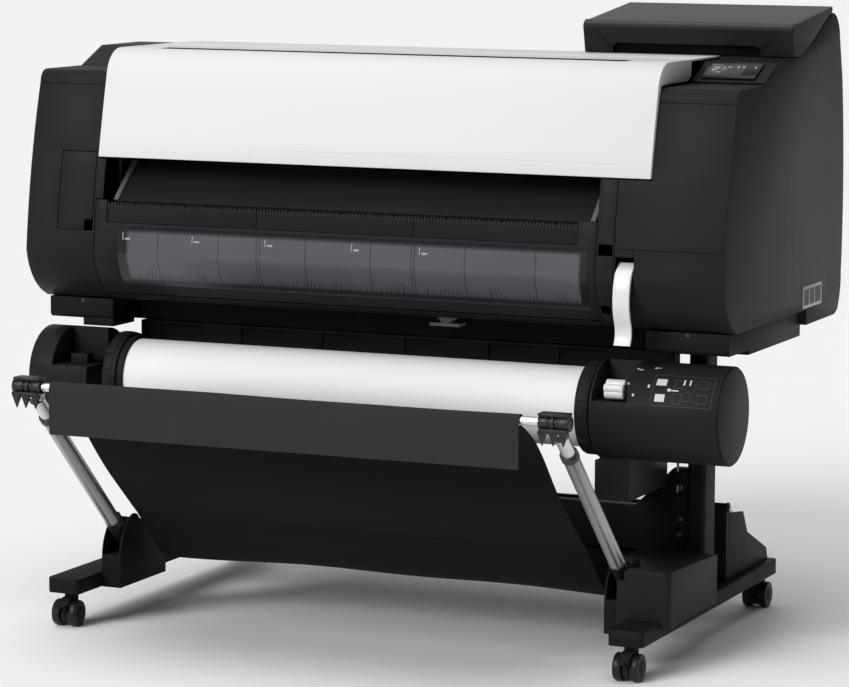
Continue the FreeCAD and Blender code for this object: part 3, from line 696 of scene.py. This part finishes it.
def cloth_piece(name, points, material, folds, rows=60, columns=90):
    """Sheet whose long edges follow the points; folds moves a row point out along the curve's normal."""
    path, length = smooth_path(points, rows + 1)
    bm = bmesh.new()
    bmesh.ops.create_grid(bm, x_segments=columns, y_segments=rows, size=0.5)
    for vert in bm.verts:
        across = vert.co.x + 0.5
        down = vert.co.y + 0.5
        row = round(down * rows)
        here = path[row]
        before, after = path[max(row - 1, 0)], path[min(row + 1, rows)]
        tangent = (after - before).normalized()
        normal = Vector((0, tangent.z, -tangent.y))
        calm = min(1.0, down * 6, (1 - down) * 6)
        place = Vector((CLOTH_LEFT + across * CLOTH_WIDTH, here.y, here.z))
        vert.co = place + normal * folds(across, down) * calm
    bmesh.ops.recalc_face_normals(bm, faces=bm.faces)
    bmesh.ops.solidify(bm, geom=bm.faces, thickness=THICK)
    bmesh.ops.recalc_face_normals(bm, faces=bm.faces)
    piece = finish_mesh(bm, name, material, None, sharp=60)
    return piece, length


# %% Flap and sleeve
def flap_folds(across, down):
    return 0.0012 * math.sin(across * 19 + 1.0) * down + 0.0008 * math.sin(across * 7)


wrap = bar_radius + 0.0022
sleeve_turns = [math.radians(angle) for angle in (-80, -40, 0, 40, 80, 120, 160)]
sleeve_points = [
    (bar_centre.y + wrap * math.cos(turn), bar_centre.z + wrap * math.sin(turn)) for turn in sleeve_turns]
flap_points = sleeve_points + [
    (bar_centre.y - wrap - 0.0004, bar_centre.z - 0.010),
    (bar_centre.y - wrap + 0.0010, bar_centre.z - 0.045),
    (bar_centre.y - wrap + 0.0015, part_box("basket_flap")[0].z + 0.0005)]
flap, flap_length = cloth_piece("basket_flap_cloth", flap_points, "flap_cloth", flap_folds, rows=70)
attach(flap, "basket_bar")
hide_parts("basket_flap")
print("flap", round(flap_length, 3), "m long")

# %% Front drop between the bar and the arms
knee = (-0.187, 0.212)


def front_folds(across, down):
    sag = 0.010 * math.sin(math.pi * across) * math.sin(math.pi * down)
    return sag + 0.0022 * math.sin(across * 11 + 2.0 + down * 2) * math.sin(math.pi * down)


front_points = [
    (bar_centre.y + 0.0035, bar_centre.z - wrap + 0.001), (-0.470, 0.462), (-0.413, 0.420), (-0.325, 0.326),
    (-0.252, 0.264), knee]
front_cloth, front_length = cloth_piece("basket_front_cloth", front_points, "cloth", front_folds)
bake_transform(front_cloth)
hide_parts("basket_front_panel")
print("front drop", round(front_length, 3), "m")

# %% Rear sling between the arms and the rear rod
rod_low, rod_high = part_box("rear_rod")
rod_centre = (rod_low + rod_high) / 2
rod_wrap = (rod_high.z - rod_low.z) / 2 + 0.0022


def rear_folds(across, down):
    sag = -0.006 * math.sin(math.pi * across) * math.sin(math.pi * down)
    return sag + 0.0020 * math.sin(across * 13 + 0.5) * math.sin(math.pi * down)


rear_points = [
    knee, (-0.135, 0.162), (-0.086, 0.116), (-0.040, 0.099), (0.000, 0.108), (0.070, 0.146), (0.150, 0.190),
    (rod_centre.y - 0.006, rod_centre.z - rod_wrap), (rod_centre.y + rod_wrap, rod_centre.z - 0.002),
    (rod_centre.y, rod_centre.z + rod_wrap), (rod_centre.y - rod_wrap, rod_centre.z)]
rear_cloth, rear_length = cloth_piece("basket_rear_cloth", rear_points, "cloth", rear_folds, rows=80)
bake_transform(rear_cloth)
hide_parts("basket_sling")
print("rear sling", round(rear_length, 3), "m")

# %% [markdown]
# ## Fittings on the output guide
# The comb at the top of the guide is a row of short ribs with a paler ragged upper edge. Its place is
# taken from the CAD bars. Two pale sloping rails close the mouth at its ends.

# %% Comb ribs and mouth rails
comb_low, comb_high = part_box("comb_bar")
ribs = bmesh.new()
step = 0.0062
count = int((comb_high.x - comb_low.x) / step)
for i in range(count):
    left = comb_low.x + 0.002 + i * step
    if i % 17 == 9:
        continue
    tall = 0.0012 + 0.0010 * ((i * 7) % 5 > 1)
    rib_low = (left, comb_low.y + 0.0008, comb_high.z - 0.0078)
    rib_high = (left + 0.0038, comb_low.y + 0.010, comb_high.z + tall)
    add_block(ribs, rib_low, rib_high, 0.0004, 1)
finish_mesh(ribs, "comb_ribs", "comb_grey", "guide_panel")
slope_low, slope_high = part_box("output_apron")
rails = bmesh.new()
rail_turn = math.atan2(slope_high.z - slope_low.z, slope_high.y - slope_low.y)
rail_length = math.hypot(slope_high.z - slope_low.z, slope_high.y - slope_low.y)
middle = (slope_low + slope_high) / 2
for x in (slope_low.x + 0.004, slope_high.x + 0.006):
    rail_low = (x - 0.005, middle.y - rail_length / 2, middle.z + 0.001)
    rail_high = (x + 0.005, middle.y + rail_length / 2, middle.z + 0.008)
    add_block(rails, rail_low, rail_high, 0.0015, 2, Matrix.Rotation(rail_turn, 4, "X"))
finish_mesh(rails, "mouth_rails", "rail_grey", ROOT)
print(count, "comb ribs")

# %% [markdown]
# ## Printed panel on the right drum
# A thin pale frame holds plain pictures of the loading steps: white squares and grey shapes with no
# lettering. Each patch is a grid wrapped round the drum's axis, a fraction of a millimetre above its
# face.

# %% Drum panel
roll_axis = Vector(joints["roll_spin"]["pos_m"])
drum_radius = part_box("right_roll_housing")[1].z - roll_axis.z


def drum_patch(bm, left, right_x, low_angle, high_angle, lift=0.0003):
    """Thin patch on the front of the drum, between two angles above the horizontal."""
    grid = bmesh.ops.create_grid(bm, x_segments=2, y_segments=8, size=0.5)
    for vert in grid["verts"]:
        across, up = vert.co.x + 0.5, vert.co.y + 0.5
        angle = math.radians(low_angle + (high_angle - low_angle) * up)
        radius = drum_radius + lift
        vert.co = Vector((
            left + (right_x - left) * across, roll_axis.y - radius * math.cos(angle),
            roll_axis.z + radius * math.sin(angle)))
    faces = list({face for vert in grid["verts"] for face in vert.link_faces})
    bmesh.ops.recalc_face_normals(bm, faces=faces)


PANEL = (0.562, 0.676, 15.0, 55.5)
frame_lines = bmesh.new()
for low_a, high_a in ((PANEL[2], PANEL[2] + 0.9), (PANEL[3] - 0.9, PANEL[3])):
    drum_patch(frame_lines, PANEL[0], PANEL[1], low_a, high_a)
for left in (PANEL[0], PANEL[1] - 0.0013):
    drum_patch(frame_lines, left, left + 0.0013, PANEL[2], PANEL[3])
for left in (0.602, 0.640):
    drum_patch(frame_lines, left, left + 0.0008, PANEL[2] + 5, PANEL[3] - 5)
finish_mesh(frame_lines, "panel_frame", "icon_line", ROOT)
white_marks = bmesh.new()
for left, width, low_a, high_a in (
        (0.568, 0.019, 40.0, 49.0), (0.570, 0.018, 20.0, 29.0), (0.591, 0.006, 33.0, 36.5),
        (0.598, 0.014, 33.5, 35.0), (0.618, 0.003, 42.0, 49.5), (0.629, 0.003, 42.0, 49.5),
        (0.522, 0.004, 62.5, 65.5), (0.527, 0.007, 61.5, 63.5), (0.554, 0.004, 66.0, 69.5),
        (0.559, 0.006, 67.5, 69.0), (0.553, 0.004, 36.0, 40.0), (0.527, 0.004, 24.5, 27.5)):
    drum_patch(white_marks, left, left + width, low_a, high_a, 0.0004)
finish_mesh(white_marks, "panel_marks", "icon_white", ROOT)
grey_marks = bmesh.new()
for left, width, low_a, high_a in (
        (0.604, 0.014, 18.0, 31.0), (0.604, 0.014, 37.0, 49.0), (0.620, 0.015, 22.0, 34.0),
        (0.645, 0.021, 38.5, 49.0), (0.647, 0.020, 20.0, 31.0)):
    for edge_low, edge_high in ((low_a, low_a + 1.0), (high_a - 1.0, high_a)):
        drum_patch(grey_marks, left, left + width, edge_low, edge_high, 0.0004)
    for side_x in (left, left + width - 0.001):
        drum_patch(grey_marks, side_x, side_x + 0.001, low_a, high_a, 0.0004)
finish_mesh(grey_marks, "panel_grey_marks", "icon_line", ROOT)

# %% [markdown]
# ## Clips that hold the front bar
# Each arm ends in a black clip: a flat plate over the bar, three rings round it, three pointed teeth
# below and a collar that grips the silver rod. They replace the plain CAD clips.

# %% Bar clips
clips = bmesh.new()
knuckles = bmesh.new()
for side in (-1, 1):
    place_y, place_z = bar_centre.y, bar_centre.z
    x0, x1 = sorted((side * 0.4805, side * 0.5335))
    add_block(
        clips, (x0, place_y - 0.0130, place_z + 0.0120), (x1, place_y + 0.0150, place_z + 0.0172), 0.0012)
    for start, end, radius in ((0.4800, 0.4990, 0.0132), (0.5030, 0.5100, 0.0145), (0.5140, 0.5365, 0.0138)):
        add_disc(clips, (side * (start + end) / 2, place_y, place_z), radius, end - start, bevel=0.0014)
    add_disc(clips, (side * 0.506, place_y, place_z), 0.0112, 0.052, bevel=0)
    x0, x1 = sorted((side * 0.4830, side * 0.5350))
    add_block(
        clips, (x0, place_y - 0.0165, place_z - 0.0150), (x1, place_y - 0.0115, place_z - 0.0095), 0.0010)
    for middle_x in (0.4885, 0.5085, 0.5270):
        bmesh.ops.create_cone(
            clips, cap_ends=True, segments=4, radius1=0.0012, radius2=0.0118, depth=0.024,
            matrix=Matrix.Translation((side * middle_x, place_y - 0.0100, place_z - 0.0265))
            @ Matrix.Diagonal((1.0, 0.55, 1.0, 1.0)) @ Matrix.Rotation(math.radians(45), 4, "Z"))
    arm_top = Vector((side * 0.508, place_y, place_z))
    lie = along.to_track_quat("Z", "X").to_matrix().to_4x4()
    for reach, first, last, depth in ((0.0140, 0.0125, 0.0125, 0.024), (0.0310, 0.0146, 0.0138, 0.014)):
        bmesh.ops.create_cone(
            clips, cap_ends=True, segments=36, radius1=first, radius2=last, depth=depth,
            matrix=Matrix.Translation(arm_top - along * reach) @ lie)
    bmesh.ops.create_cone(
        knuckles, cap_ends=True, segments=32, radius1=0.0090, radius2=0.0090, depth=0.018,
        matrix=Matrix.Translation(arm_top - along * 0.020 - inward * 0.0060 + Vector((-side * 0.013, 0, 0)))
        @ AXIS_TURN["x"])
clip_piece = finish_mesh(clips, "bar_clip_mouldings", "clip_black", "basket_bar", 28)
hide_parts("bar_clips")
finish_mesh(knuckles, "bar_clip_knuckles", "steel", "basket_bar")

# %% [markdown]
# ## Caster caps, roll stops and small fittings
# Caster wheels get hub caps, the roll stops get grip blocks round their rims, and the base, the back
# panel and the cross beam get screw heads. The knob gets its collar and the right column its two cable
# clips.

# %% Hub caps
for row in ("front", "rear"):
    for side in ("left", "right"):
        low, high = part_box(f"{row}_{side}_caster_wheels")
        hub = (low + high) / 2
        caps = bmesh.new()
        for x in (low.x + 0.0006, high.x - 0.0006):
            add_disc(caps, (x, hub.y, hub.z), 0.0150, 0.0020, segments=48, bevel=0.0006)
            add_disc(caps, (x, hub.y, hub.z), 0.0065, 0.0032, segments=32, bevel=0.0008)
        finish_mesh(caps, f"{row}_{side}_hub_caps", "casing_black", f"{row}_{side}_wheels", 28)

# %% Grips on the roll stops
flange_low, flange_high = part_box("roll_flanges")
flange_radius = flange_high.z - roll_axis.z
grips = bmesh.new()
GRIPS = 16
grip_spans = (
    (flange_low.x + 0.006, flange_low.x + 0.024), (flange_high.x - 0.025, flange_high.x - 0.008))
for low_x, high_x in grip_spans:
    for i in range(GRIPS):
        turn = Matrix.Rotation(2 * math.pi * i / GRIPS, 4, "X")
        cube = bmesh.ops.create_cube(
            grips, size=1.0, matrix=Matrix.Translation(roll_axis) @ turn
            @ Matrix.Translation(((low_x + high_x) / 2, 0, flange_radius - 0.0006))
            @ Matrix.Diagonal((high_x - low_x, 0.022, 0.0030, 1)))
        rim = {edge for vert in cube["verts"] for edge in vert.link_edges}
        bmesh.ops.bevel(
            grips, geom=list(rim), offset=0.0007, offset_type="OFFSET", segments=2, profile=0.5,
            affect="EDGES", clamp_overlap=True, material=-1)
finish_mesh(grips, "roll_stop_grips", "casing_black", "roll")

# %% Screws, knob collar, clips and side plate
pan_low, pan_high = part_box("bottom_pan")
screws = bmesh.new()
for x in (-0.613, 0.606):
    add_disc(screws, (x, pan_low.y + 0.0004, pan_high.z - 0.006), 0.0036, 0.0016, "y", bevel=0.0004)
back_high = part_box("back_panel")[1]
for x in (-0.50, -0.25, 0.0, 0.25, 0.50):
    for z in (0.66, 0.99):
        add_disc(screws, (x, back_high.y - 0.0013, z), 0.0034, 0.0016, "y", bevel=0.0004)
beam_low, beam_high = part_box("leg_cross_beam")
for side in (-1, 1):
    for z in (0.20, 0.23, 0.29):
        beam_screw = (side * (beam_high.x - 0.014), beam_low.y - 0.0008, z)
        add_disc(screws, beam_screw, 0.0060, 0.0026, "y", bevel=0.0006)
finish_mesh(screws, "screw_heads", "steel_dark", ROOT)

knob_parts = bmesh.new()
add_disc(knob_parts, (0.113, -0.045, 0.5965), 0.0185, 0.006, "z", bevel=0.0012)
finish_mesh(knob_parts, "knob_collar", "knob_grey", ROOT)

column_low, column_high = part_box("legs")
ties = bmesh.new()
for z, tall in ((0.329, 0.018), (0.288, 0.014)):
    add_block(
        ties, (column_high.x - 0.055, column_low.y - 0.0045, z - tall / 2),
        (column_high.x - 0.051, column_low.y + 0.001, z + tall / 2), 0.001)
finish_mesh(ties, "cable_clips", "knob_grey", ROOT)

plate = bmesh.new()
side_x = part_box("right_side_cover")[1].x
add_block(plate, (side_x - 0.0004, 0.281, 0.608), (side_x + 0.0006, 0.399, 0.650), 0.0003)
finish_mesh(plate, "side_plate", "plate_silver", ROOT)
fields = bmesh.new()
for low_y, high_y in ((0.287, 0.318), (0.323, 0.352), (0.357, 0.393)):
    add_block(fields, (side_x + 0.0004, low_y, 0.614), (side_x + 0.0009, high_y, 0.644), 0.0001, 1)
finish_mesh(fields, "side_plate_fields", "icon_grey", ROOT)

# %% Lobes of the roll lock lever
lock_low, lock_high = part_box("roll_lock_lever")
lobes = bmesh.new()
for y, z, radius in ((-0.1640, 0.5085, 0.0105), (-0.1725, 0.4945, 0.0100)):
    add_disc(lobes, ((lock_low.x + lock_high.x) / 2, y, z), radius, lock_high.x - lock_low.x, bevel=0.002)
finish_mesh(lobes, "roll_lock_lobes", "lever_white", "roll_lock")

# %% [markdown]
# ## Sheet feed slot
# A dark line crosses the top of the white cover: painted shade for the inside of the slot. It is drawn by a
# flush strip in the near-black painted-shade finish, and no slot is cut.

# %% Sheet feed slot across the access cover
SLOT_LOW, SLOT_HIGH = Vector((-0.460, -0.086, 1.0804)), Vector((0.470, -0.050, 1.0813))
slot_strip = bmesh.new()
add_block(slot_strip, SLOT_LOW, SLOT_HIGH, bevel=0.0003)
finish_mesh(slot_strip, "sheet_feed_slot", "dark_gap", "access_cover", sharp=40)
print("feed slot", round(SLOT_HIGH.x - SLOT_LOW.x, 3), "m long")

# %% Bearing block in the left recess
bearing = bmesh.new()
add_block(bearing, (-0.622, -0.150, 0.4805), (-0.586, -0.124, 0.4990), 0.0015)
finish_mesh(bearing, "spindle_rest", "casing_black", ROOT)

# %% Drop bracket under the left end of the base
drop = bmesh.new()
add_block(drop, (-0.615, pan_low.y + 0.004, 0.5505), (-0.549, pan_low.y + 0.090, 0.5660), 0.002)
finish_mesh(drop, "base_drop_bracket", "stand_black", ROOT)
